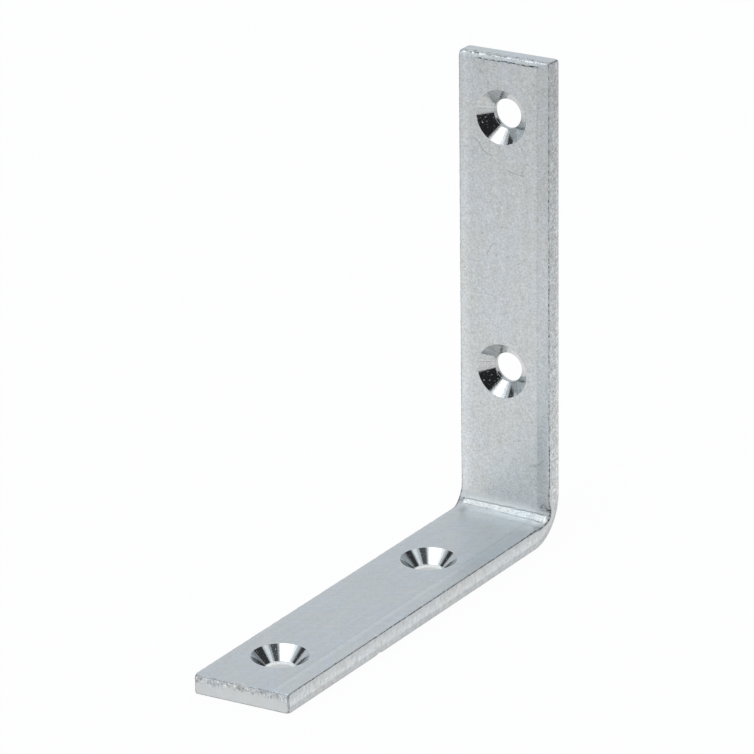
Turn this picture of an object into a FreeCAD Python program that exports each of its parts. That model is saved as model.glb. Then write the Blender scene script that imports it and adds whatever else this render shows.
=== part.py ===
import FreeCAD, Part
import math
import os

# Angle bracket bent from one length of flat steel bar, with two countersunk screw holes in each leg.
# The foot lies flat and runs towards -Y, the upright stands at +Y, and the screw heads sit in the
# inner faces. The origin is on the underside, below the middle of the bracket's depth.

# Bar and bend, in mm; the outside of the bend is rounder than the bar's thickness alone would make it
bar_width = 20.4
bar_thickness = 4.3
upright_height = 100.0
foot_length = 100.0
inner_bend_radius = 3.3
corner_spread = 1.6

# Sheared ends: how much shorter the +X side is than the -X side, and how the shear drew the
# inner edge of the end down
upright_end_skew = -0.5
foot_end_skew = 1.2
shear_roll_length = 1.0
shear_roll_depth = 0.3

# Long edges: rounded on the outer faces, with shallow bevels on the inner faces
outer_edge_radius = 0.3
near_bevel_width = 2.3
far_bevel_width = 1.3
bevel_drop = 0.2

# Metal that the bend squeezed out at the two sides, highest a little nearer the upright than the
# foot, and how the ends of the inner bend flare towards it
near_swell = 0.6
far_swell = 0.35
swell_edge_gap = 0.1
swell_angle = 55.0
near_flare_width = 2.6
near_flare_depth = 0.9
near_flare_radius = 7.0
far_flare_width = 1.5
far_flare_depth = 0.5
far_flare_radius = 5.0

# Flat-bottomed mark that the blunt nose of the press tool left along the inner bend
nose_width = 1.4
nose_bite = 0.2
near_nose_margin = 1.9
far_nose_margin = 1.0

# Screw holes; the punch broke out a little wider at the outer faces
countersink_diameter = 11.3
countersink_angle = 90.0
screw_hole_diameter = 6.1
breakout_depth = 0.9
breakout_widening = 0.4
upright_end_distance = 12.4
upright_hole_spacing = 53.2
upright_row_shift = -0.5
foot_end_distance = 14.5
foot_hole_spacing = 53.5
foot_row_shift = -0.7

# How far a cutter runs past what it cuts, how deep a dome is rooted in the bar and how far its
# rim dips below the side face, and how near a point is to a surface that it lies on
clear = 2.0
root = 1.0
rim_dip = 0.03
touch = 0.001

# Places that follow from the sizes
half_width = bar_width / 2
outer_bend_radius = inner_bend_radius + bar_thickness + corner_spread
back_y = (foot_length + abs(foot_end_skew) / 2) / 2
free_end_y = back_y - foot_length
inner_y = back_y - bar_thickness
inner_centre_y = inner_y - inner_bend_radius
inner_centre_z = bar_thickness + inner_bend_radius
outer_centre_y = back_y - outer_bend_radius
outer_centre_z = outer_bend_radius
swell_y = inner_centre_y + inner_bend_radius * math.sin(math.radians(swell_angle))
swell_z = inner_centre_z - inner_bend_radius * math.cos(math.radians(swell_angle))
diagonal = math.sqrt(0.5)


def vec(x, y, z):
    return FreeCAD.Vector(x, y, z)


def bend_arc(centre_y, centre_z, radius, x):
    # quarter turn of a bend, from the upright to the foot
    top = vec(x, centre_y + radius, centre_z)
    middle = vec(x, centre_y + radius * diagonal, centre_z - radius * diagonal)
    bottom = vec(x, centre_y, centre_z - radius)
    return Part.Arc(top, middle, bottom).toShape()


def bent_slab(width):
    # the bar as seen from the side, with both ends a little long, spread over a width
    x = -width / 2
    top_z = upright_height + clear
    end_y = free_end_y - clear
    outline = [
        Part.makeLine(vec(x, back_y, top_z), vec(x, back_y, outer_centre_z)),
        bend_arc(outer_centre_y, outer_centre_z, outer_bend_radius, x),
        Part.makeLine(vec(x, outer_centre_y, 0), vec(x, end_y, 0)),
        Part.makeLine(vec(x, end_y, 0), vec(x, end_y, bar_thickness)),
        Part.makeLine(vec(x, end_y, bar_thickness), vec(x, inner_centre_y, bar_thickness)),
        bend_arc(inner_centre_y, inner_centre_z, inner_bend_radius, x),
        Part.makeLine(vec(x, inner_y, inner_centre_z), vec(x, inner_y, top_z)),
        Part.makeLine(vec(x, inner_y, top_z), vec(x, back_y, top_z)),
    ]
    face = Part.Face(Part.Wire(Part.__sortEdges__(outline)))
    return face.extrude(vec(width, 0, 0))


def swell_reach():
    # from the inner bend towards the outer one, stopping short of the rounded outer edge
    to_outside = outer_bend_radius - math.hypot(swell_y - outer_centre_y, swell_z - outer_centre_z)
    return to_outside - outer_edge_radius - swell_edge_gap


def swell(side, height):
    # bell-shaped dome on one side face, highest at the inner bend: a crown and a skirt of one
    # radius, each turning through the same angle
    reach = swell_reach()
    rise = height + rim_dip
    radius = (reach ** 2 + rise ** 2) / (4 * rise)
    half_turn = math.atan2(rise, reach)
    along = radius * math.sin(half_turn)
    drop = radius * (1 - math.cos(half_turn))
    summit = vec(height, 0, 0)
    turning_point = vec(height - rise / 2, reach / 2, 0)
    rim = vec(-rim_dip, reach, 0)
    below_rim = vec(-root, reach, 0)
    below_summit = vec(-root, 0, 0)
    crown = Part.Arc(summit, vec(height - drop, along, 0), turning_point).toShape()
    skirt = Part.Arc(turning_point, vec(drop - rim_dip, reach - along, 0), rim).toShape()
    half_section = Part.Wire([
        crown,
        skirt,
        Part.makeLine(rim, below_rim),
        Part.makeLine(below_rim, below_summit),
        Part.makeLine(below_summit, summit),
    ])
    dome = Part.Face(half_section).revolve(vec(0, 0, 0), vec(1, 0, 0), 360)
    if side < 0:
        dome.rotate(vec(0, 0, 0), vec(0, 0, 1), 180)
    dome.translate(vec(side * half_width, swell_y, swell_z))
    return dome


def width_limits():
    # block as wide as the bar, with the two domes on its sides
    depth = foot_length + clear * 4
    height = upright_height + clear * 4
    corner = vec(-half_width, back_y + clear - depth, -clear)
    block = Part.makeBox(bar_width, depth, height, corner)
    return block.fuse([swell(1, near_swell), swell(-1, far_swell)])


def end_cutter(section, skew):
    # the section has Y across the thickness and Z along the leg, and is turned by the end's skew
    face = Part.Face(Part.makePolygon(section + section[:1]))
    face.translate(vec(-half_width - clear, 0, 0))
    cutter = face.extrude(vec(bar_width + clear * 2, 0, 0))
    cutter.rotate(vec(0, 0, 0), vec(0, 1, 0), math.degrees(math.atan2(skew, bar_width)))
    return cutter


def upright_end_cutter(section):
    cutter = end_cutter(section, upright_end_skew)
    cutter.translate(vec(0, inner_y, upright_height))
    return cutter


def foot_end_cutter(section):
    # lying down puts the cutter's +X side at -X, so its skew is reversed
    cutter = end_cutter(section, -foot_end_skew)
    cutter.rotate(vec(0, 0, 0), vec(1, 0, 0), -90)
    cutter.rotate(vec(0, 0, 0), vec(0, 0, 1), 180)
    cutter.translate(vec(0, free_end_y, bar_thickness))
    return cutter


def sheared_end():
    return [
        vec(0, -clear, 0),
        vec(0, bar_thickness + clear, 0),
        vec(0, bar_thickness + clear, clear * 2),
        vec(0, -clear, clear * 2),
    ]


def rolled_edge():
    # slope from the inner face to the end face, run on past both
    run = clear * shear_roll_length / shear_roll_depth
    return [
        vec(0, -clear, -shear_roll_length - run),
        vec(0, shear_roll_depth + clear, run),
        vec(0, -clear, run),
    ]


def is_rounded(edge):
    # edges round the outer faces, and the short ones at the corners of the two ends
    middle = edge.valueAt((edge.FirstParameter + edge.LastParameter) / 2)
    on_back = abs(middle.y - back_y) < touch
    on_base = abs(middle.z) < touch
    out_y = middle.y - outer_centre_y
    out_z = outer_centre_z - middle.z
    on_turn = abs(math.hypot(out_y, out_z) - outer_bend_radius) < touch and min(out_y, out_z) > 0
    at_side = abs(abs(middle.x) - half_width) < touch
    at_end = middle.z > upright_height - clear or middle.y < free_end_y + clear
    return on_back or on_base or on_turn or (at_side and at_end)


def blank():
    # the bar bent and cut to length, with its outer edges rounded
    wide_slab = bent_slab(bar_width + clear * 2)
    bar = wide_slab.common(width_limits())
    bar = bar.cut([upright_end_cutter(sheared_end()), foot_end_cutter(sheared_end())])
    return bar.makeFillet(outer_edge_radius, [edge for edge in bar.Edges if is_rounded(edge)])


def edge_bevel(side, width):
    # wedge that follows the inner faces along one long edge, from the free end to the top
    slope = bevel_drop / width
    start_y = free_end_y - clear
    inner_x = side * (half_width - width)
    outer_x = side * (half_width + clear)
    start = vec(inner_x, start_y, bar_thickness)
    section = Part.makePolygon([
        start,
        vec(outer_x, start_y, bar_thickness - slope * (width + clear)),
        vec(outer_x, start_y, bar_thickness + bevel_drop),
        vec(inner_x, start_y, bar_thickness + bevel_drop),
        start,
    ])
    path = Part.Wire(Part.__sortEdges__([
        Part.makeLine(start, vec(inner_x, inner_centre_y, bar_thickness)),
        bend_arc(inner_centre_y, inner_centre_z, inner_bend_radius, inner_x),
        Part.makeLine(vec(inner_x, inner_y, inner_centre_z), vec(inner_x, inner_y, upright_height + clear)),
    ]))
    return path.makePipeShell([section], True, False)


def bend_flare(side, height, width, depth, radius):
    # trumpet mouth turned round the axis of the inner bend: it widens along an arc from the
    # bend's own radius to the crest of the swell, and then runs straight on past it
    crest_x = half_width + height
    start = vec(crest_x - width, inner_bend_radius, 0)
    crest = vec(crest_x, inner_bend_radius + depth, 0)
    chord = math.hypot(width, depth)
    chord_slope = math.atan2(depth, width)
    half_turn = math.asin(chord / (2 * radius))
    sag = radius * (1 - math.cos(half_turn))
    middle_x = crest_x - width / 2 + sag * math.sin(chord_slope)
    middle_radius = inner_bend_radius + depth / 2 - sag * math.cos(chord_slope)
    end_x = crest_x + clear
    end_radius = inner_bend_radius + depth + clear * math.tan(chord_slope + half_turn)
    half_section = Part.Wire([
        Part.Arc(start, vec(middle_x, middle_radius, 0), crest).toShape(),
        Part.makeLine(crest, vec(end_x, end_radius, 0)),
        Part.makeLine(vec(end_x, end_radius, 0), vec(end_x, 0, 0)),
        Part.makeLine(vec(end_x, 0, 0), vec(crest_x - width, 0, 0)),
        Part.makeLine(vec(crest_x - width, 0, 0), start),
    ])
    mouth = Part.Face(half_section).revolve(vec(0, 0, 0), vec(1, 0, 0), 360)
    if side < 0:
        mouth.rotate(vec(0, 0, 0), vec(0, 0, 1), 180)
    mouth.translate(vec(0, inner_centre_y, inner_centre_z))
    return mouth


def nose_mark():
    # from the axis of the inner bend outwards along the diagonal, a little past the bend's surface
    start_x = -half_width + far_nose_margin
    end_x = half_width - near_nose_margin
    reach = inner_bend_radius + nose_bite
    block = Part.makeBox(end_x - start_x, reach, nose_width, vec(start_x, 0, -nose_width / 2))
    block.rotate(vec(0, 0, 0), vec(1, 0, 0), -45)
    block.translate(vec(0, inner_centre_y, inner_centre_z))
    return block


def countersunk_hole():
    # the mouth lies in the plane z = 0 and the way through runs along -Z
    mouth_radius = countersink_diameter / 2
    hole_radius = screw_hole_diameter / 2
    spread = math.tan(math.radians(countersink_angle / 2))
    sink_depth = (mouth_radius - hole_radius) / spread
    above = vec(0, 0, clear)
    down = vec(0, 0, -1)
    sink = Part.makeCone(mouth_radius + clear * spread, hole_radius, sink_depth + clear, above, down)
    shank = Part.makeCylinder(hole_radius, bar_thickness + clear * 2, above, down)
    breakout_start = vec(0, 0, breakout_depth - bar_thickness)
    breakout_run = breakout_depth + clear
    breakout_radius = hole_radius + breakout_run * breakout_widening / breakout_depth
    breakout = Part.makeCone(hole_radius, breakout_radius, breakout_run, breakout_start, down)
    return sink.fuse([shank, breakout])


def foot_hole(distance):
    hole = countersunk_hole()
    hole.translate(vec(foot_row_shift, free_end_y + distance, bar_thickness))
    return hole


def upright_hole(distance):
    hole = countersunk_hole()
    hole.rotate(vec(0, 0, 0), vec(1, 0, 0), 90)
    hole.translate(vec(upright_row_shift, inner_y, upright_height - distance))
    return hole


def angle_bracket():
    bar = blank()
    bar = bar.cut([upright_end_cutter(rolled_edge()), foot_end_cutter(rolled_edge())])
    bar = bar.cut([edge_bevel(1, near_bevel_width), edge_bevel(-1, far_bevel_width)])
    bar = bar.cut([
        bend_flare(1, near_swell, near_flare_width, near_flare_depth, near_flare_radius),
        bend_flare(-1, far_swell, far_flare_width, far_flare_depth, far_flare_radius),
    ])
    bar = bar.cut(nose_mark())
    return bar.cut([
        foot_hole(foot_end_distance),
        foot_hole(foot_end_distance + foot_hole_spacing),
        upright_hole(upright_end_distance),
        upright_hole(upright_end_distance + upright_hole_spacing),
    ])


os.makedirs("parts", exist_ok=True)
angle_bracket().exportStep("parts/angle_bracket.step")
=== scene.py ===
import math

import bmesh
import bpy
from mathutils import Matrix, Quaternion, Vector, noise


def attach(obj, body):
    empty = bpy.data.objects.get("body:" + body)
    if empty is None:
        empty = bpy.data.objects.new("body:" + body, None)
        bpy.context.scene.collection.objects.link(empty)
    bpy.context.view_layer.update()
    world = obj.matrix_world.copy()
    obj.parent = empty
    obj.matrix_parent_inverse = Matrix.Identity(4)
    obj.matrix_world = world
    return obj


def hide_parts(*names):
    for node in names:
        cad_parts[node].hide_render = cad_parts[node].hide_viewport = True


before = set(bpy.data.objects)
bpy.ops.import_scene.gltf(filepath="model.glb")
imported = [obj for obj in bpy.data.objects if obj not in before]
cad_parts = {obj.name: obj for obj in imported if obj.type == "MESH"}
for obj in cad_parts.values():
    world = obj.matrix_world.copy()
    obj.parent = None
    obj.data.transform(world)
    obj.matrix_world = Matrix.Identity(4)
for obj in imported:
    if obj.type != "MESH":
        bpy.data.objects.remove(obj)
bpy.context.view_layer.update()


# The bracket is one length of flat steel bar. It was sheared off, punched and countersunk four
# times, bent in a press round a blunt nose, and then plated with bright zinc. Here the bar is
# made flat, in millimetres, lying where its foot lies, and its other half is then bent up.

bar_width = 20.4
bar_thickness = 4.3
half_width = bar_width / 2
back_y = 50.3
foot_length = 100.0
upright_height = 100.0
inner_bend_radius = 3.3
outer_bend_radius = 9.2
bend_allowance = 8.0

free_end_y = back_y - foot_length
bend_start_y = back_y - bar_thickness - inner_bend_radius
bend_end_y = bend_start_y + bend_allowance
bend_middle_y = (bend_start_y + bend_end_y) / 2
top_end_y = bend_end_y + upright_height - bar_thickness - inner_bend_radius
outer_round = 0.3
outer_round_segments = 4
inner_round = 0.14
inner_round_segments = 3
near_band_width = 2.5
far_band_width = 1.3
near_bevel_x = half_width - near_band_width
far_bevel_x = -half_width + far_band_width
metres_per_mm = 0.001

# zones along the bar, and the size of the mesh in each
end_zone_length = 3.0
bend_zone_margin = 4.7
foot_end_zone = free_end_y + end_zone_length
bend_zone = (bend_start_y - bend_zone_margin, bend_end_y + bend_zone_margin)
top_end_zone = top_end_y - end_zone_length
end_step = 0.3
strip_step = 0.5
bend_row_step = 0.13
beside_bend_step = 0.3
bend_column_step = 0.33
height_step = 0.36
crease_gap = 0.1
near_band_columns = (1.1, 1.7)
far_band_column = 0.7
smallest_panel = 500
sharp_angle = 0.5
cut_tolerance = 1e-4
rim_tolerance = 1e-3


def spread(start, end, step):
    # evenly spaced places strictly between two others
    count = max(1, round((end - start) / step))
    return [start + (end - start) * i / count for i in range(1, count)]


def cut(mesh, faces, axis, places):
    # cuts the faces across the axis at each place
    edges = {edge for face in faces for edge in face.edges}
    verts = {vert for face in faces for vert in face.verts}
    geom = [*faces, *edges, *verts]
    for place in places:
        cutting = bmesh.ops.bisect_plane(
            mesh,
            geom=geom,
            dist=cut_tolerance,
            plane_co=axis * place,
            plane_no=axis,
        )
        geom = cutting["geom"]


def lying(mesh, low, high):
    # faces whose middles lie between two places along the bar
    return [face for face in mesh.faces if low < face.calc_center_median().y < high]


def is_panel(face):
    # the broad middle of a leg, on its inner or its outer face
    return face.calc_area() > smallest_panel and abs(face.normal.z) > 0.99


def on_inner_face(edge):
    return all(vert.co.z > bar_thickness - cut_tolerance for vert in edge.verts)


def round_edges(mesh, edges, radius, segments):
    bmesh.ops.bevel(
        mesh,
        geom=edges,
        offset=radius,
        segments=segments,
        profile=0.5,
        affect="EDGES",
        material=-1,
    )


across = Vector((1, 0, 0))
along = Vector((0, 1, 0))
upward = Vector((0, 0, 1))

bar = bmesh.new()
bmesh.ops.create_cube(bar, size=1)
bmesh.ops.scale(bar, vec=(bar_width, top_end_y - free_end_y, bar_thickness), verts=bar.verts)
middle = Vector((0, (top_end_y + free_end_y) / 2, bar_thickness / 2))
bmesh.ops.translate(bar, vec=middle, verts=bar.verts)

# the outer edges and the corners of the ends are rounder than the edges of the inner face
outer_edges = [edge for edge in bar.edges if not on_inner_face(edge)]
round_edges(bar, outer_edges, outer_round, outer_round_segments)
inner_edges = [
    edge
    for edge in bar.edges
    if on_inner_face(edge) and edge.calc_face_angle() > sharp_angle
]
round_edges(bar, inner_edges, inner_round, inner_round_segments)

zone_borders = [foot_end_zone, *bend_zone, top_end_zone]
cut(bar, bar.faces[:], along, zone_borders)
band_columns = [
    near_bevel_x - crease_gap,
    near_bevel_x + crease_gap,
    *[near_bevel_x + column for column in near_band_columns],
    far_bevel_x + crease_gap,
    far_bevel_x - crease_gap,
    far_bevel_x - far_band_column,
]
cut(bar, bar.faces[:], across, band_columns)
heights = spread(outer_round, bar_thickness - inner_round, height_step)
cut(bar, bar.faces[:], upward, heights)
side_to_side = (-half_width + outer_round, half_width - outer_round)
end_columns = spread(*side_to_side, end_step)
cut(bar, lying(bar, -math.inf, foot_end_zone), across, end_columns)
cut(bar, lying(bar, top_end_zone, math.inf), across, end_columns)
foot_end_rows = spread(free_end_y, foot_end_zone, end_step)
top_end_rows = spread(top_end_zone, top_end_y, end_step)
cut(bar, lying(bar, -math.inf, foot_end_zone), along, foot_end_rows)
cut(bar, lying(bar, top_end_zone, math.inf), along, top_end_rows)
cut(bar, lying(bar, *bend_zone), across, spread(*side_to_side, bend_column_step))
bend_rows = [
    *spread(bend_zone[0], bend_start_y, beside_bend_step),
    bend_start_y,
    *spread(bend_start_y, bend_end_y, bend_row_step),
    bend_end_y,
    *spread(bend_end_y, bend_zone[1], beside_bend_step),
]
cut(bar, lying(bar, *bend_zone), along, bend_rows)
panel_ends = ((foot_end_zone, bend_zone[0]), (bend_zone[1], top_end_zone))
for ends in panel_ends:
    strips = [face for face in lying(bar, *ends) if not is_panel(face)]
    cut(bar, strips, along, spread(*ends, strip_step))
panels = [face for face in bar.faces if is_panel(face)]
bmesh.ops.delete(bar, geom=panels, context="FACES")

# The four holes were punched through from the inner face, which broke them out a little wider
# below, and were then countersunk. Each is its section, with soft corners, spun round its axis,
# and the panels are filled in again round them.

mouth_radius = 5.65
hole_radius = 3.05
breakout_radius = 3.45
breakout_height = 0.9
rim_softness = 0.07
hole_segments = 128
upright_row_x = -0.5
upright_hole_from_end = 12.4
upright_hole_spacing = 53.2
foot_row_x = -0.7
foot_hole_from_end = 14.5
foot_hole_spacing = 53.5
holes = (
    (foot_row_x, free_end_y + foot_hole_from_end),
    (foot_row_x, free_end_y + foot_hole_from_end + foot_hole_spacing),
    (upright_row_x, top_end_y - upright_hole_from_end - upright_hole_spacing),
    (upright_row_x, top_end_y - upright_hole_from_end),
)


def softened(corners, reach):
    # a section line with each of its corners turned into a short curve
    line = [corners[0]]
    for before, corner, after in zip(corners, corners[1:], corners[2:]):
        start = corner + (before - corner).normalized() * reach
        end = corner + (after - corner).normalized() * reach
        line += [start, (start + corner * 2 + end) / 4, end]
    return [*line, corners[-1]]


hole_section = softened(
    [
        Vector((mouth_radius + rim_softness * 2, 0, bar_thickness)),
        Vector((mouth_radius, 0, bar_thickness)),
        Vector((hole_radius, 0, bar_thickness - mouth_radius + hole_radius)),
        Vector((hole_radius, 0, breakout_height)),
        Vector((breakout_radius, 0, 0)),
        Vector((breakout_radius + rim_softness * 2, 0, 0)),
    ],
    rim_softness,
)
for x, y in holes:
    centre = Vector((x, y, 0))
    points = [bar.verts.new(centre + point) for point in hole_section]
    lines = [bar.edges.new(pair) for pair in zip(points, points[1:])]
    bmesh.ops.spin(
        bar,
        geom=[*points, *lines],
        cent=centre,
        axis=upward,
        angle=math.tau,
        steps=hole_segments,
        use_merge=True,
    )

for low, high in panel_ends:
    for height in (0, bar_thickness):
        rims = [
            edge
            for edge in bar.edges
            if edge.is_boundary
            and all(abs(vert.co.z - height) < rim_tolerance for vert in edge.verts)
            and low - rim_tolerance < min(vert.co.y for vert in edge.verts)
            and max(vert.co.y for vert in edge.verts) < high + rim_tolerance
        ]
        bmesh.ops.triangle_fill(bar, use_beauty=True, edges=rims, normal=upward)
bmesh.ops.recalc_face_normals(bar, faces=bar.faces)
flat_places = [vert.co.copy() for vert in bar.verts]

# The shears and rolls left sloping bands beside the inner long edges, steepest just above the
# bend, and drew the ends' inner edges down and the outer edges in. The ends are a little out of
# square, and the near edges have three nicks.

foot_bevel_drop = 0.17
near_bevel_drop = 0.3
bend_bevel_drop = 0.46
far_bevel_drop = 0.2
start_blend = 4
steepening_length = 26
shear_roll_length = 1.0
shear_roll_waver = 0.15
shear_roll_drop = 0.3
burr_size = 0.07
burr_reach = 0.45
die_roll_height = 1.1
die_roll_in = 0.1
round_slack = 0.01
corner_reach = 1.2
near_corner_in = 0.13
far_corner_in = 0.02
inner_corner_in = 0.2
foot_end_skew = 1.19
upright_end_skew = -0.49
skew_reach = 4
skew_blend = 2.5
# place along the bar, height and depth of each nick
nicks = ((-17, 0, 0.2), (-31, bar_thickness, 0.16), (-18.3, bar_thickness, 0.14))
nick_reach = 0.6
nick_slant = 0.6
# pitch and seed of each raggedness
roll_waves = (2.2, 3)
fine_burrs = (0.55, 7)
broad_burrs = (2.4, 9)


def shaky(place, pitch, seed):
    # smooth random number between about -1 and 1
    return noise.noise(Vector((place.x / pitch, place.y / pitch, seed))) * 1.6


def limited(value):
    return max(0.0, min(1.0, value))


def smooth(value):
    value = limited(value)
    return value * value * (3 - 2 * value)


def bell(distance, width):
    # 1 in the middle, and fading to 0 on both sides
    return math.exp(-((distance / width) ** 2))


def band_shares(x):
    # how far across the near and the far band a place is, from the crease to the edge
    near = limited((x - near_bevel_x) / near_band_width)
    far = limited((far_bevel_x - x) / far_band_width)
    return near, far


def near_band_drop(y):
    past_start = smooth((y - bend_start_y) / start_blend)
    near_bend = smooth((bend_end_y + steepening_length - y) / steepening_length) * past_start
    drop = foot_bevel_drop + (near_bevel_drop - foot_bevel_drop) * past_start
    return drop + (bend_bevel_drop - near_bevel_drop) * near_bend


def corner_pull(gaps, amount):
    # how far a corner draws in a point that is so far from its three faces
    return amount * max(0, 1 - Vector(gaps).length / corner_reach) ** 2


for vert in bar.verts:
    flat = vert.co.copy()
    foot_gap = flat.y - free_end_y
    top_gap = top_end_y - flat.y
    end_gap = min(foot_gap, top_gap)
    side_gap = half_width - abs(flat.x)
    inwards = Vector((-math.copysign(1, flat.x), math.copysign(1, top_gap - foot_gap), 0))
    if flat.z > bar_thickness - inner_round - round_slack:
        near, far = band_shares(flat.x)
        roll_length = shear_roll_length + shear_roll_waver * shaky(flat, *roll_waves)
        roll = limited(1 - end_gap / roll_length)
        near_drop = near_band_drop(flat.y) * near
        vert.co.z -= max(near_drop, far_bevel_drop * far, shear_roll_drop * roll)
    at_edge = limited(1 - (bar_thickness - flat.z) / burr_reach)
    at_edge *= limited(1 - min(side_gap, end_gap) / burr_reach)
    ragged = 1 + shaky(flat, *fine_burrs) + shaky(flat, *broad_burrs)
    vert.co.z -= burr_size * at_edge * ragged / 2
    drawn = die_roll_in * max(0, 1 - flat.z / die_roll_height) ** 2
    if side_gap < outer_round + round_slack:
        vert.co.x += inwards.x * drawn
    if end_gap < outer_round + round_slack:
        vert.co.y += inwards.y * drawn
    outer_gaps = (side_gap, end_gap, flat.z)
    inner_gaps = (side_gap, end_gap, flat.z - bar_thickness)
    outer_corner_in = near_corner_in if flat.x > 0 else far_corner_in
    vert.co += (inwards + upward) * corner_pull(outer_gaps, outer_corner_in)
    vert.co += (inwards - upward) * corner_pull(inner_gaps, inner_corner_in)
    for y, z, depth in nicks:
        distance = math.hypot(flat.y - y, flat.z - z, flat.x - half_width)
        slant = nick_slant if z == 0 else -nick_slant
        vert.co += Vector((-1, 0, slant)) * depth * bell(distance, nick_reach)
    foot_end = smooth((skew_reach - foot_gap) / skew_blend)
    top_end = smooth((skew_reach - top_gap) / skew_blend)
    skew = foot_end_skew * foot_end - upright_end_skew * top_end
    vert.co.y += flat.x / bar_width * skew

# The bend was pressed cold. Its outside is rounder than its inside, the sides swell out, the
# inner face flares down towards them, and the press tool's nose left a flat mark with ragged
# borders and two faint ledges below it.

bend_centre = Vector((0, bend_start_y, bar_thickness + inner_bend_radius))
outer_centre = Vector((0, back_y - outer_bend_radius, outer_bend_radius))
centre_gap = bend_centre - outer_centre
swell_lean = math.radians(55)
swell_side = Vector((0, math.sin(swell_lean), -math.cos(swell_lean)))
swell_centre = bend_centre + swell_side * inner_bend_radius
swell_reach = 3.2
near_swell = 0.56
far_swell = 0.2
# place where each flare starts, its width and depth, and how steeply it starts
near_flare = (half_width + near_swell - 2.6, 2.6, 0.88, 0.4)
far_flare = (half_width + far_swell - 1.5, 1.5, 0.28, 0.5)
flare_fade = 1
nose_width = 1.4
nose_widening = 0.012
nose_bite = 0.18
nose_softness = 0.14
# where each end of the mark is, and half the length over which it fades
nose_far_end = (-8.4, 0.2)
nose_near_end = (9.6, 0.6)
# size, pitch and seed of the raggedness of its borders
nose_waves = ((0.11, 1.3, 21), (0.09, 0.45, 31))
border_seed = 4
ledge_places = (0.98, 1.2)
ledge_width = 0.09
ledge_depth = 0.05
ledge_fade = 4


def outer_distance(ray):
    # from the centre of the inner bend to the outside of the bar
    lean = ray.dot(centre_gap)
    return -lean + math.sqrt(lean ** 2 + outer_bend_radius ** 2 - centre_gap.length_squared)


def nose_depth(angle, x):
    # how much deeper than the inner bend the nose of the press tool went
    off_middle = angle - math.pi / 4
    flat_reach = (inner_bend_radius + nose_bite) / math.cos(off_middle)
    beside = flat_reach * math.sin(off_middle)
    half_mark = nose_width / 2 + nose_widening * x
    for size, pitch, seed in nose_waves:
        row = seed + math.copysign(border_seed, beside)
        half_mark += size * noise.noise(Vector((x / pitch, 0, row)))
    inside = smooth((half_mark + nose_softness - abs(beside)) / (2 * nose_softness))
    end, fade = nose_far_end
    inside *= smooth((x - end + fade) / (2 * fade))
    end, fade = nose_near_end
    inside *= smooth((end + fade - x) / (2 * fade))
    depth = (flat_reach - inner_bend_radius) * inside
    upper, lower = [bell(beside + ledge, ledge_width) for ledge in ledge_places]
    ledges = (upper - lower) * smooth((x + ledge_fade) / ledge_fade)
    return depth + ledge_depth * ledges * (1 - inside)


def flare_radius(x):
    # distance of the flared surface from the axis of the inner bend
    start, width, depth, steepness = near_flare if x > 0 else far_flare
    share = (abs(x) - start) / width
    if share <= 0:
        return 0
    return inner_bend_radius + depth * (steepness * share + (1 - steepness) * share ** 2)


def bent(flat, x):
    # where a point of the flat bar goes when the bar is bent, at its place across the bar
    depth = 1 - flat.z / bar_thickness
    flare = flare_radius(x)
    if bend_start_y <= flat.y <= bend_end_y:
        angle = (flat.y - bend_start_y) / bend_allowance * math.pi / 2
        ray = Vector((0, math.sin(angle), -math.cos(angle)))
        pressed = inner_bend_radius + nose_depth(angle, x)
        inner = max(pressed, flare - max(0, depth) * bar_thickness)
        reach = inner + (outer_distance(ray) - inner) * depth
        return bend_centre + ray * reach + across * x
    past = bend_start_y - flat.y if flat.y < bend_start_y else flat.y - bend_end_y
    sunk = max(0, math.sqrt(max(0, flare ** 2 - past ** 2)) - inner_bend_radius)
    sunk = max(0, sunk - (bar_thickness - flat.z))
    sunk *= limited(flat.z - bar_thickness + flare_fade)
    fall = max(0, outer_centre.z - bend_centre.z - past)
    lift = outer_bend_radius - math.sqrt(outer_bend_radius ** 2 - fall ** 2)
    height = flat.z - sunk + lift * depth
    if flat.y < bend_start_y:
        return Vector((x, flat.y, height))
    return Vector((x, back_y - height, bend_centre.z + past))


def swelling(place):
    # how far the bend squeezed a side face out
    near, far = band_shares(place.x)
    distance = math.hypot(place.y - swell_centre.y, place.z - swell_centre.z)
    return smooth(1 - distance / swell_reach) * (near_swell * near ** 2 - far_swell * far ** 2)


for vert in bar.verts:
    flat = vert.co.copy()
    swelled_x = flat.x + swelling(bent(flat, flat.x))
    vert.co = bent(flat, swelled_x)

# the crests beside the flares are worn smooth
crest_reach = 0.5
crest_margin = 1
crest_rounds = 4
crests = [
    vert
    for vert, flat in zip(bar.verts, flat_places)
    if bend_zone[0] + crest_margin < flat.y < bend_zone[1] - crest_margin
    and abs(flat.x) > half_width - crest_reach
    and flat.z > bar_thickness - crest_reach
]
for i in range(crest_rounds):
    bmesh.ops.smooth_vert(
        bar,
        verts=crests,
        factor=0.5,
        use_axis_x=True,
        use_axis_y=True,
        use_axis_z=True,
    )

bar.transform(Matrix.Scale(metres_per_mm, 4))
mesh = bpy.data.meshes.new("steel_bar")
bar.to_mesh(mesh)
bar.free()
flat_map = mesh.attributes.new("flat_place", "FLOAT_VECTOR", "POINT")
flat_map.data.foreach_set("vector", [value for place in flat_places for value in place])
mesh.shade_smooth()
bracket = bpy.data.objects.new("steel_bracket", mesh)
bpy.context.collection.objects.link(bracket)
even_faces = bracket.modifiers.new("even_faces", "WEIGHTED_NORMAL")
even_faces.keep_sharp = False
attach(bracket, "root")
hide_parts("angle_bracket")

# The skin is bright zinc over rolled steel: finely pitted on the upright, smoother on the foot,
# torn on the sheared sides and ends, and polished in the countersinks, which were cut after
# rolling. It is drawn on the flat bar, in millimetres, so it follows the bend.


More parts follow.
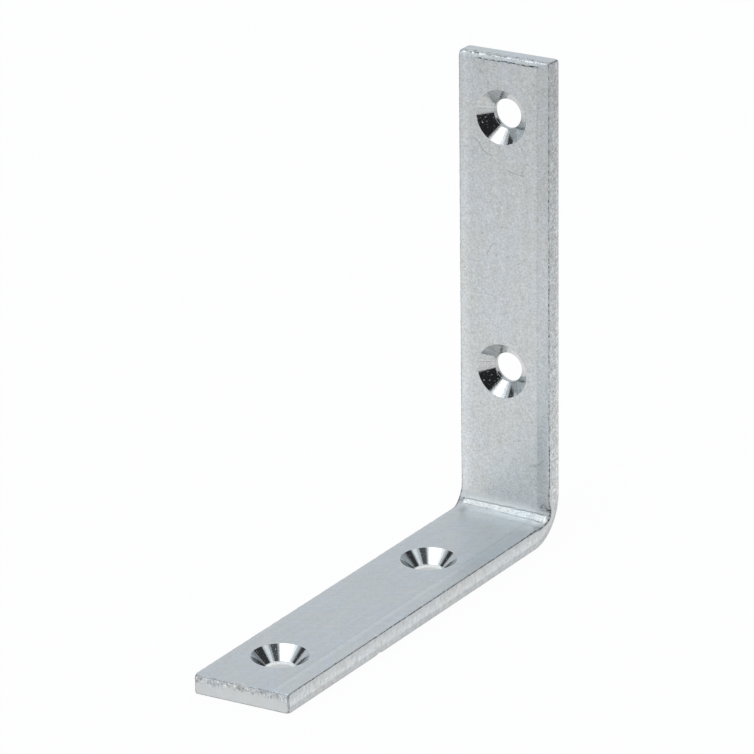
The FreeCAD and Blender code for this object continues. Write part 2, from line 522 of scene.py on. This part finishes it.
class Wire:
    """An output of a shader node. Sums on it add Math nodes, and make adds any other node."""

    def __init__(self, tree, socket=None):
        self.tree = tree
        self.socket = socket

    def make(self, kind, settings=None, inputs=None, output=0):
        node = self.tree.nodes.new("ShaderNode" + kind)
        for name, value in (settings or {}).items():
            setattr(node, name, value)
        for name, value in (inputs or {}).items():
            if isinstance(value, Wire):
                self.tree.links.new(value.socket, node.inputs[name])
            else:
                node.inputs[name].default_value = value
        return Wire(self.tree, node.outputs[output] if node.outputs else None)

    def beside(self, output):
        # another output of the same node
        return Wire(self.tree, self.socket.node.outputs[output])

    def math(self, operation, *values):
        return self.make("Math", {"operation": operation}, dict(enumerate(values)))

    def vector(self, operation, other, output=0):
        return self.make("VectorMath", {"operation": operation}, {0: self, 1: other}, output)

    def __add__(self, other):
        return self.math("ADD", self, other)

    def __sub__(self, other):
        return self.math("SUBTRACT", self, other)

    def __rsub__(self, other):
        return self.math("SUBTRACT", other, self)

    def __mul__(self, other):
        return self.math("MULTIPLY", self, other)

    __radd__ = __add__
    __rmul__ = __mul__

    def __abs__(self):
        return self.math("ABSOLUTE", self)

    def rises(self, low, high):
        # 0 up to low and 1 from high on, or the other way round where low is the higher
        inputs = {"Value": self, "From Min": low, "From Max": high}
        return self.make("MapRange", {"interpolation_type": "SMOOTHSTEP"}, inputs)

    def least(self, other):
        return self.math("MINIMUM", self, other)

    def largest(self, other):
        return self.math("MAXIMUM", self, other)

    def gap(self, point):
        # distance from a point
        return self.vector("DISTANCE", tuple(point), output="Value")

    def scaled(self, share):
        return self.make("VectorMath", {"operation": "SCALE"}, {0: self, "Scale": share})

    def mixed(self, low, high):
        # one colour where the wire is 0, and the other where it is 1
        return self.make("Mix", {"data_type": "RGBA"}, {0: self, 6: low, 7: high}, output=2)

    def grain(self, scale, stretch=(1, 1, 1), detail=2, roughness=0.5):
        # smooth noise from about -0.5 to 0.5, with so many waves to the millimetre
        place = self.vector("MULTIPLY", tuple(scale * share for share in stretch))
        inputs = {"Vector": place, "Scale": 1.0, "Detail": detail, "Roughness": roughness}
        return self.make("TexNoise", {"noise_dimensions": "3D"}, inputs) - 0.5


def material_of(name):
    # an empty material, and a wire in it to start from
    material = bpy.data.materials.new(name)
    material.use_nodes = True
    material.node_tree.nodes.clear()
    return material, Wire(material.node_tree)


zinc, start = material_of("bright_zinc")
place = start.make("Attribute", {"attribute_name": "flat_place"}, output="Vector")
x_place = place.make("SeparateXYZ", inputs={"Vector": place})
y_place = x_place.beside("Y")
height = x_place.beside("Z")

# countersinks and straight walls: a mask, the direction from the hole's axis and the distance
in_hole, hole_ray, hole_distance = 0, (0, 0, 0), 0
for x, y in holes:
    offset = place.vector("SUBTRACT", (x, y, 0)).vector("MULTIPLY", (1, 1, 0))
    radius = offset.gap((0, 0, 0))
    inside = radius.rises(mouth_radius + 0.02, mouth_radius - 0.04)
    inside = inside * height.rises(breakout_height, breakout_height + 0.4)
    ray = offset.vector("NORMALIZE", (0, 0, 0)).scaled(inside)
    in_hole = inside + in_hole
    hole_ray = ray.vector("ADD", hole_ray)
    hole_distance = radius * inside + hole_distance

# where the surface is: each mask is 1 on its part of the bar and 0 elsewhere, with a soft border
to_side = half_width - abs(x_place)
from_end = (y_place - free_end_y).least(top_end_y - y_place)
in_upright = y_place.rises(bend_end_y - 2, bend_end_y + 2)
in_foot = 1 - in_upright
inner_face = height.rises(bar_thickness - 0.25, bar_thickness - 0.1)
side_face = to_side.rises(0.16, 0.08)
end_face = from_end.rises(0.16, 0.08)
near_band = x_place.rises(near_bevel_x - 0.15, near_bevel_x + 0.15) * inner_face
nose_mark = abs(y_place - bend_middle_y).rises(1.15, 0.95) * inner_face
nose_mark = nose_mark * x_place.rises(9.1, 8.7) * x_place.rises(-8.7, -8.2)
# painted highlight on the straight walls of the foot's holes
foot_wall_glint = in_hole * hole_distance.rises(hole_radius + 0.16, hole_radius + 0.06) * in_foot

# bruised skin at both ends of the bend: place across the bar and along it, and radius
bruises = 0
for x, y, radius in ((-9.1, 47.0, 1.0), (9.3, 49.8, 1.5)):
    bruise = place.gap((x, y, bar_thickness))
    bruises = bruise.rises(radius, radius * 0.4) + bruises

# thin curved scratches: the arc's centre and radius, the angle of its middle, and its reach
scratch_width = 0.13
scratches = 0
for x, y, radius, angle, reach in (
    (-9.0, 121.6, 4.6, 40, 2.2),
    (-1.5, 127.5, 5.2, 245, 1.6),
    (4.0, 128.0, 8.5, 262, 2.6),
    (2.0, 100.0, 6.0, 150, 2.0),
    (6.0, 62.0, 3.4, 300, 2.2),
):
    turn = math.radians(angle)
    centre = Vector((x, y, bar_thickness))
    touched = centre + Vector((math.cos(turn), math.sin(turn), 0)) * radius
    scratch = abs(place.gap(centre) - radius).rises(scratch_width, 0.03)
    scratches = scratch * place.gap(touched).rises(reach, reach * 0.6) + scratches

clouds = place.grain(0.16, (1, 0.7, 1), 3, 0.6)
mottle = place.grain(0.55, (1, 0.8, 1), 3, 0.6)
pores = place.grain(1.25, (1, 1, 1), 3, 0.65)
fine = place.grain(2.7, (1, 1, 1), 2, 0.7)
drag = place.grain(0.45, (1.5, 0.16, 1), 3, 0.55)
tears = place.grain(0.8, (0.5, 1.3, 0.6), 3, 0.7)
end_tears = place.grain(1.5, (1.7, 0.2, 0.25), 3, 0.65)
rays = hole_ray.grain(9.0, (1, 1, 1), 3, 0.7)
turned = hole_distance.make("CombineXYZ", inputs={"X": hole_distance})
turned = turned.grain(7.0, (1, 1, 1), 2, 0.6)
flecks = place.grain(1.7, (1, 1, 1), 1, 0.5)
specks = place.grain(3.2, (1, 1, 1), 1, 0.5).rises(0.2, 0.26)
smear_way = place.vector("DOT_PRODUCT", (0.84, 0.54, 0), output="Value")
smear_side = place.vector("DOT_PRODUCT", (-0.54, 0.84, 0), output="Value")
smears = place.make("CombineXYZ", inputs={"X": smear_way, "Y": smear_side})
smears = smears.grain(0.9, (0.28, 1, 1), 3, 0.6)
coarseness = (0.4 + in_upright * 0.6) * (1 - end_face * 0.6)
dark_flecks = flecks.rises(0.2, 0.3)
bright_flecks = flecks.rises(-0.22, -0.32)

# dotted lines of painted shade along the inner edges and in the crease at the lower border of
# the top end's roll, the torn upper part of the ends, and the zones of the sides: burnished
# above with a painted sheen, and rolled over below with painted shade
roll_border_place = 0.93
foot_crease_x = 6.5
# painted shade: a dark dotted line along the inner long edges
edge_shade_line = (to_side + fine * 0.12).rises(0.28, 0.14)
edge_shade_line = edge_shade_line * height.rises(bar_thickness - 0.24, bar_thickness - 0.13)
# painted highlight along the top end's inner edge, and painted shade along the free end's inner
# edge
end_edge_glint_and_shade = from_end.rises(0.32, 0.12) * height.rises(bar_thickness - 0.3, bar_thickness - 0.16)
# painted shade in the crease at the lower border of the top end's roll
roll_border_shade = abs(from_end - roll_border_place + mottle * 0.5 + fine * 0.3).rises(0.2, 0.07)
roll_border_shade = roll_border_shade * x_place.rises(-6.5, -5.0) * x_place.rises(8.4, 7.2)
roll_border_shade = roll_border_shade * inner_face * in_upright
ragged = end_face * (height + mottle * 2.2).rises(bar_thickness - 2.1, bar_thickness - 1.2)
# painted shade along the lower edges
lower_edge_shade = height.rises(0.4, 0.12) * to_side.least(from_end).rises(0.5, 0.3)
upright_corner = (to_side + from_end).rises(0.42, 0.2)
# painted shade along the creases at the inner borders of the near bands
upright_crease = abs(x_place - near_bevel_x).rises(0.28, 0.1) * in_upright
foot_crease = abs(x_place - foot_crease_x).rises(0.3, 0.1) * in_foot
foot_band = x_place.rises(foot_crease_x - 0.15, foot_crease_x + 0.15) * inner_face * in_foot
# on the foot's sides: a painted sheen on the upper part, and painted shade on the rolled-over
# lower part
upper_side_sheen = height.rises(4.1, 1.85)
rolled_side_shade = (height + mottle * 0.5).rises(1.6, 1.4)
# painted light on the far sloping band, and painted shade along the far edge
far_band_light = x_place.rises(-7.2, -9.0) * inner_face
far_edge_shade = x_place.rises(-9.75, -10.0)

# each mask, and the share by which it makes the metal lighter or darker
tone = 1 + (clouds * 0.1 + mottle * 0.13 + pores * 0.32 + fine * 0.85) * coarseness
tone = tone + drag * 0.13 + smears * inner_face * in_foot * 0.16
for mask, change in (
    (dark_flecks * coarseness, -0.25),
    (bright_flecks * coarseness, 0.12),
    # painted shade along the inner long edges, a little less dark on the upright
    (edge_shade_line, in_upright * 0.12 - 0.34 - fine * (2.4 + in_upright * 1.6) - pores * 1.8),
    # painted shade in the crease at the lower border of the top end's roll
    (roll_border_shade, -0.6 - pores * 3.0 - fine * 2.6),
    # painted highlight along the top end's inner edge
    (end_edge_glint_and_shade * in_upright, 0.1 + pores * 3.0 + fine * 2.0),
    # painted shade along the free end's inner edge
    (end_edge_glint_and_shade * in_foot, -0.25 - pores * 2.0),
    (ragged, end_tears * 1.3 + pores * 1.8 + fine - 0.15),
    # painted shade along the lower edges
    (lower_edge_shade, -0.5 - pores * 2.0),
    (upright_corner, -0.3 - pores * 2.0),
    # painted shade along the creases
    ((upright_crease + foot_crease) * inner_face, -0.07),
    (foot_band, 0.07 - y_place.rises(6, 24) * 0.12),
    # painted shade on the sloping near band: darker towards the top of the upright, and a little
    # darker on the foot and the lower upright
    (near_band, y_place.rises(85, 125) * -0.1 - y_place.rises(75, 60) * 0.05),
    (end_face * in_upright, 0.05),
    # painted sheen above and painted shade below on the foot's sides
    (side_face * in_foot, upper_side_sheen * 0.16 - rolled_side_shade * 0.18 - 0.1),
    # the upright's sides are a little lighter low down
    (side_face * in_upright, height.rises(1.5, 1.1) * 0.13 - 0.02),
    (side_face, tears * 0.5 + pores * 0.5 + fine * 0.9 * in_upright),
    # painted light on the far sloping band of the upright
    (far_band_light * in_upright, 0.12),
    # painted shade along the far edge of the upright
    (far_edge_shade * in_upright, -0.12),
    (bruises, -0.4 - pores * 3.0 - fine * 2.0),
    (scratches, -0.28),
    (in_hole, rays * 0.8 - 0.12),
    # painted highlight on the straight walls of the foot's holes
    (foot_wall_glint, 0.45),
):
    tone = tone * (1 + mask * change)
grey_steel = (0.679, 0.698, 0.695, 1)
blue_steel = (0.66, 0.696, 0.718, 1)
tint = (clouds + mottle * 0.6 + pores * side_face).rises(-0.14, 0.14)
tint = tint.mixed(grey_steel, blue_steel)
multiply = {"data_type": "RGBA", "blend_type": "MULTIPLY"}
colour = tone.make("Mix", multiply, {0: 1.0, 6: tint, 7: tone}, output=2)
roughness = 0.34 + mottle * 0.14 + pores * 0.12 + side_face * 0.06 + ragged * 0.08
roughness = roughness * (1 - in_hole) + in_hole * (0.095 + flecks * 0.08)

relief = (pores * 1.6 + fine * 0.9 + drag * 0.3 + mottle * 0.8 - dark_flecks * 0.5) * coarseness
relief = relief + side_face * (tears * 2.0 + pores) - scratches * 0.5
relief = relief + ragged * (end_tears * 5.0 + pores * 3.0) + nose_mark * (pores + fine) * 4.0
relief = relief * (1 - in_hole) + in_hole * (rays * 0.9 + turned * 0.08 + specks)
relief_depth = 0.00002
bump = relief.make("Bump", inputs={"Strength": 1.0, "Distance": relief_depth, "Height": relief})
surface = colour.make(
    "BsdfPrincipled",
    inputs={"Base Color": colour, "Metallic": 1.0, "Roughness": roughness, "Normal": bump},
)
surface.make("OutputMaterial", inputs={"Surface": surface})
mesh.materials.append(zinc)


# The studio: a white table that darkens with distance, as the countersinks mirror it, in a pale
# room with a wide soft box overhead in front.

table_corners = (Vector((-0.9, -0.36, 0)), Vector((0.34, 0.9, 0)))
table_size = table_corners[1] - table_corners[0] + upward
table_centre = (table_corners[0] + table_corners[1]) / 2
table = bmesh.new()
bmesh.ops.create_grid(table, x_segments=1, y_segments=1, size=0.5)
bmesh.ops.scale(table, vec=table_size, verts=table.verts)
bmesh.ops.translate(table, vec=table_centre, verts=table.verts)
table_mesh = bpy.data.meshes.new("table_top")
table.to_mesh(table_mesh)
table.free()
table_top = bpy.data.objects.new("table_top", table_mesh)
bpy.context.collection.objects.link(table_top)

# matt white, with a glow that the camera sees, and a mirror image that darkens with distance
matt_white = (0.9, 0.9, 0.9, 1)
seen_glow = 0.95
mirrored_level = 0.9
darkest_share = 0.45
darkening = 3.3
white, start = material_of("white_table")
to_camera = start.make("LightPath")
mirrored = to_camera.beside("Is Glossy Ray").largest(to_camera.beside("Is Transmission Ray"))
reach = start.make("TexCoord", output="Object").gap((0, 0, 0))
faded = (1 - reach * reach * darkening).largest(darkest_share) * mirrored_level
level = to_camera + mirrored * faded
glow_colour = level.make("CombineXYZ", inputs={"X": level, "Y": level, "Z": level})
matt = start.make("BsdfDiffuse", inputs={"Color": matt_white})
glow = start.make("Emission", inputs={"Color": glow_colour, "Strength": 1.0})
glow_share = to_camera * seen_glow + mirrored
table_look = glow_share.make("MixShader", inputs={0: glow_share, 1: matt, 2: glow})
table_look.make("OutputMaterial", inputs={"Surface": table_look})
table_mesh.materials.append(white)


def direction(azimuth, elevation):
    # azimuth 0 is the side that the foot points to, and 90 the bracket's right-hand side
    turn, climb = math.radians(azimuth), math.radians(elevation)
    outwards = math.cos(climb)
    return Vector((math.sin(turn) * outwards, -math.cos(turn) * outwards, math.sin(climb)))


room = bpy.data.worlds.new("room")
room.use_nodes = True
room.node_tree.nodes.clear()
start = Wire(room.node_tree)
from_camera = start.make("LightPath")
mirrored = from_camera.beside("Is Glossy Ray")
outward = start.make("TexCoord", output="Generated")

# lit and dark parts of the room: azimuth, elevation, angular radius and brightness
walls = (
    (-22, 64, 26, 1.4),
    (-42, 24, 17, 1.0),
    (56, -8, 9, 0.02),
    (54, 5, 9, 0.02),
    (50, 16, 9, 0.02),
    (46, 27, 9, 0.02),
    (40, 37, 9, 0.02),
    (31, 46, 10, 0.02),
    (14, 50, 11, 0.02),
    (72, 60, 13, 0.12),
    (143, 34, 20, 0.05),
    (170, 10, 14, 0.25),
    (-82, 35, 11, 0.06),
    (110, 53, 10, 1.1),
)
wall_edge = math.radians(3)
mirrored_room = 0.75
matt_room = 0.85
room_light = (0.93, 0.975, 1.02, 1)
level = mirrored_room
for azimuth, elevation, radius, brightness in walls:
    nearness = outward.vector("DOT_PRODUCT", direction(azimuth, elevation), output="Value")
    turn = math.radians(radius)
    border = wall_edge * math.sin(turn)
    inside = nearness.rises(math.cos(turn) - border, math.cos(turn) + border)
    level = level * (1 - inside) + inside * brightness
level = mirrored * level + (1 - mirrored) * matt_room
brightness = from_camera + (1 - from_camera) * level
sky = from_camera.mixed(room_light, (1, 1, 1, 1)).scaled(brightness)
sky = sky.make("Background", inputs={"Color": sky, "Strength": 1.0})
sky.make("OutputWorld", inputs={"Surface": sky})
bpy.context.scene.world = room

soft_box_way = direction(-15, 60)
soft_box_distance = 1.2
lamp = bpy.data.lights.new("soft_box", "AREA")
lamp.shape = "RECTANGLE"
lamp.size = 0.8
lamp.size_y = 0.5
lamp.energy = 1.2
lamp_object = bpy.data.objects.new("soft_box", lamp)
lamp_object.location = Vector((0, 0, 0.05)) + soft_box_way * soft_box_distance
lamp_object.rotation_mode = "QUATERNION"
lamp_object.rotation_quaternion = (-soft_box_way).to_track_quat("-Z", "Y")
bpy.context.collection.objects.link(lamp_object)

# The camera stands to the front right, a little above, well back with a long lens.

camera_azimuth = 32.426
camera_elevation = 21.728
camera_distance = 1.1479
camera_roll = -0.698
aim = Vector((-0.000774, 0.0003, 0.048825))
camera = bpy.data.cameras.new("camera")
camera.sensor_width = 36
camera.lens = 286.64
camera.clip_start = 0.01
camera.clip_end = 10
camera_object = bpy.data.objects.new("camera", camera)
back = direction(camera_azimuth, camera_elevation)
roll = Quaternion((0, 0, 1), math.radians(camera_roll))
camera_object.location = aim + back * camera_distance
camera_object.rotation_mode = "QUATERNION"
camera_object.rotation_quaternion = (-back).to_track_quat("-Z", "Y") @ roll
bpy.context.collection.objects.link(camera_object)
bpy.context.scene.camera = camera_object
bpy.context.scene.view_settings.view_transform = "Standard"
